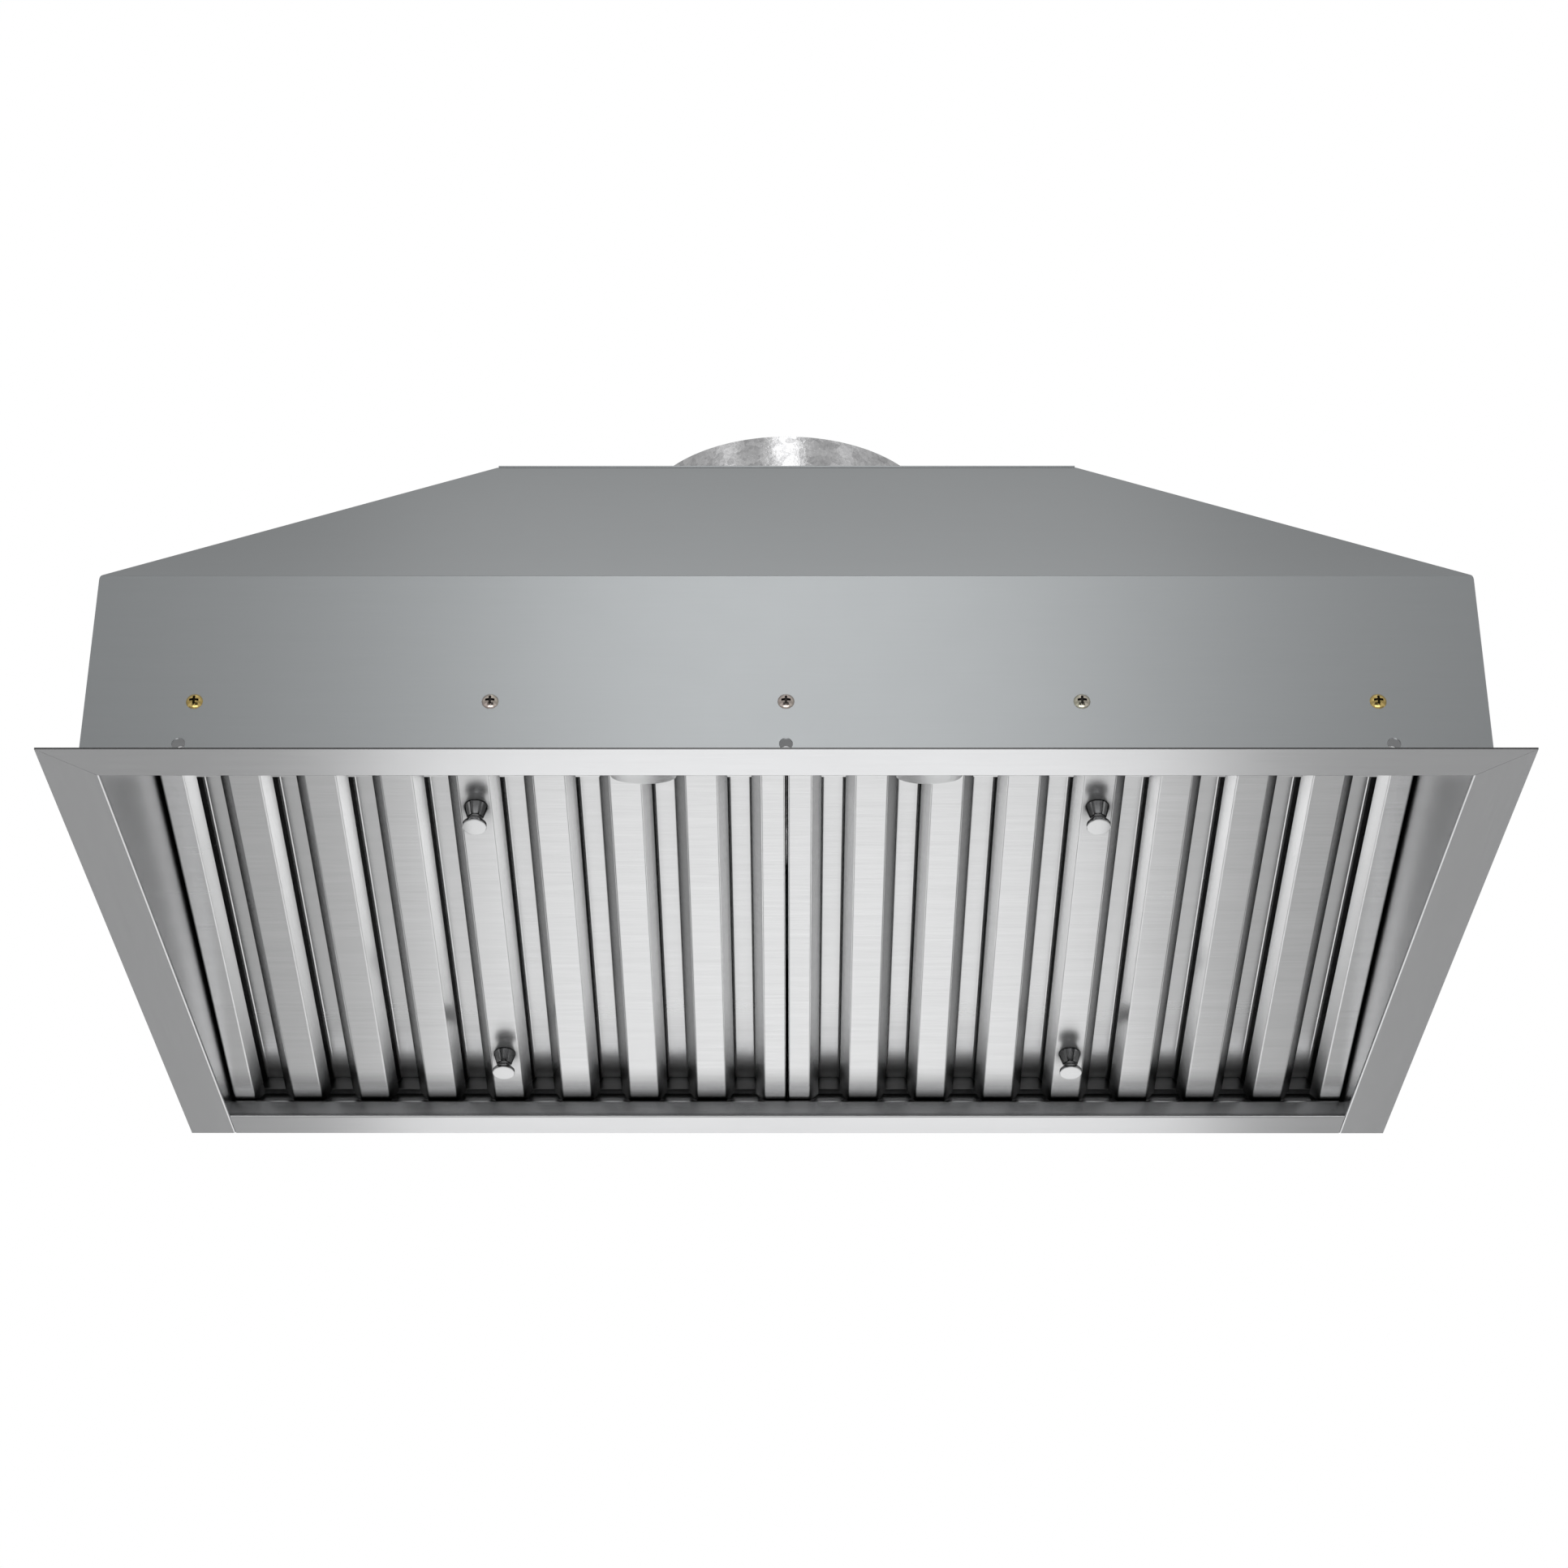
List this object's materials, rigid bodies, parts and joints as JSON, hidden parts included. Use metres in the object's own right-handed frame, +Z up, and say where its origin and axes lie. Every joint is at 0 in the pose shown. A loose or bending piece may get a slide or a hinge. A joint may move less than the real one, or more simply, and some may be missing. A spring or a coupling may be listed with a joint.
{
  "type": "range hood insert",
  "caption": "Built-in range hood insert: flanged stainless liner, tapered shell, slanted baffle filters with pull knobs, rotary controls, blower and round duct collar with damper.",
  "frame": {"origin": "centre of the flange's underside, which is the plane of the mouth", "axes": "+X across the hood to the right seen from the front, +Y from the front to the back, +Z up through the duct collar"},
  "size_m": [0.864, 0.569, 0.327],
  "materials": {
    "brushed_liner": "horizontal brushed grain, number four",
    "satin_shell": "fine satin sheet, bluish grey",
    "plain_stainless": "mill finish",
    "brushed_filter": "brushed across the ribs",
    "polished_knob": "turned and polished",
    "spun_dial": "spun face with a fine circular grain",
    "zinc_screws": "yellow zinc plate",
    "galvanised_sheet": "zinc spangle",
    "bright_steel": "ground bar",
    "dark_metal": "satin enamel",
    "black_plastic": "fine moulded texture",
    "white_plastic": "moulded",
    "lamp_bezel": "satin nickel",
    "lamp_lens": "frosted diffuser"
  },
  "bodies": {
    "root": {"liner_front": "brushed_liner", "liner_rear": "brushed_liner", "liner_left": "brushed_liner", "liner_right": "brushed_liner", "shell_front": "satin_shell", "shell_rear": "satin_shell", "shell_left": "satin_shell", "shell_right": "satin_shell", "top_plate": "satin_shell", "rail_front": "plain_stainless", "rail_left": "plain_stainless", "rail_right": "plain_stainless", "shell_screws": "zinc_screws", "control_panel": "brushed_liner", "wiring_cover": "plain_stainless", "duct_collar": "galvanised_sheet", "collar_screws": "zinc_screws", "damper_rod": "bright_steel", "outlet_flange": "galvanised_sheet", "scroll_wrap": "galvanised_sheet", "scroll_cheek_left": "galvanised_sheet", "scroll_cheek_right": "galvanised_sheet", "inlet_rings": "galvanised_sheet", "motor": "dark_metal", "motor_bracket": "galvanised_sheet", "motor_screws": "zinc_screws", "junction_box": "galvanised_sheet", "junction_lid": "galvanised_sheet", "terminal_block": "white_plastic", "cable_gland": "black_plastic", "gland_nut": "black_plastic", "capacitor": "white_plastic", "capacitor_clip": "galvanised_sheet", "lamp_driver": "white_plastic", "lamp_bezels": "lamp_bezel", "lamp_lenses": "lamp_lens", "lamp_bodies": "dark_metal", "fan_switch": "black_plastic", "light_switch": "black_plastic", "switch_nuts": "zinc_screws", "filter_springs": "plain_stainless"},
    "rotor": {"blower_wheel": "dark_metal", "motor_shaft": "bright_steel"},
    "flap_front": {"damper_flap_front": "galvanised_sheet"},
    "flap_rear": {"damper_flap_rear": "galvanised_sheet"},
    "fan_control": {"fan_dial": "spun_dial", "fan_stem": "bright_steel"},
    "light_control": {"light_dial": "spun_dial", "light_stem": "bright_steel"},
    "filter_left": {"filter_frame_left": "brushed_filter", "filter_ribs_left": "brushed_filter", "filter_baffles_left": "brushed_filter", "filter_knobs_left": "polished_knob", "knob_screws_left": "zinc_screws"},
    "filter_right": {"filter_frame_right": "brushed_filter", "filter_ribs_right": "brushed_filter", "filter_baffles_right": "brushed_filter", "filter_knobs_right": "polished_knob", "knob_screws_right": "zinc_screws"}
  },
  "joints": [
    {"name": "blower_spin", "type": "hinge", "parent": "root", "child": "rotor", "pos_m": [0, 0.032, 0.192], "axis": [1, 0, 0], "continuous": true},
    {"name": "damper_front", "type": "hinge", "parent": "root", "child": "flap_front", "pos_m": [0, -0.024, 0.301], "axis": [-1, 0, 0], "range_deg": [0, 80]},
    {"name": "damper_rear", "type": "hinge", "parent": "root", "child": "flap_rear", "pos_m": [0, -0.024, 0.301], "axis": [1, 0, 0], "range_deg": [0, 80]},
    {"name": "fan_dial_turn", "type": "hinge", "parent": "root", "child": "fan_control", "pos_m": [-0.088, -0.16208, 0.07174], "axis": [0, -0.2552, 0.9669], "range_deg": [0, 135]},
    {"name": "light_dial_turn", "type": "hinge", "parent": "root", "child": "light_control", "pos_m": [0.088, -0.16208, 0.07174], "axis": [0, -0.2552, 0.9669], "range_deg": [0, 90]},
    {"name": "filter_left_swing", "type": "hinge", "parent": "root", "child": "filter_left", "pos_m": [-0.1995, 0.2545, 0.0132], "axis": [1, 0, 0], "range_deg": [0, 75]},
    {"name": "filter_right_swing", "type": "hinge", "parent": "root", "child": "filter_right", "pos_m": [0.1995, 0.2545, 0.0132], "axis": [1, 0, 0], "range_deg": [0, 75]}
  ]
}
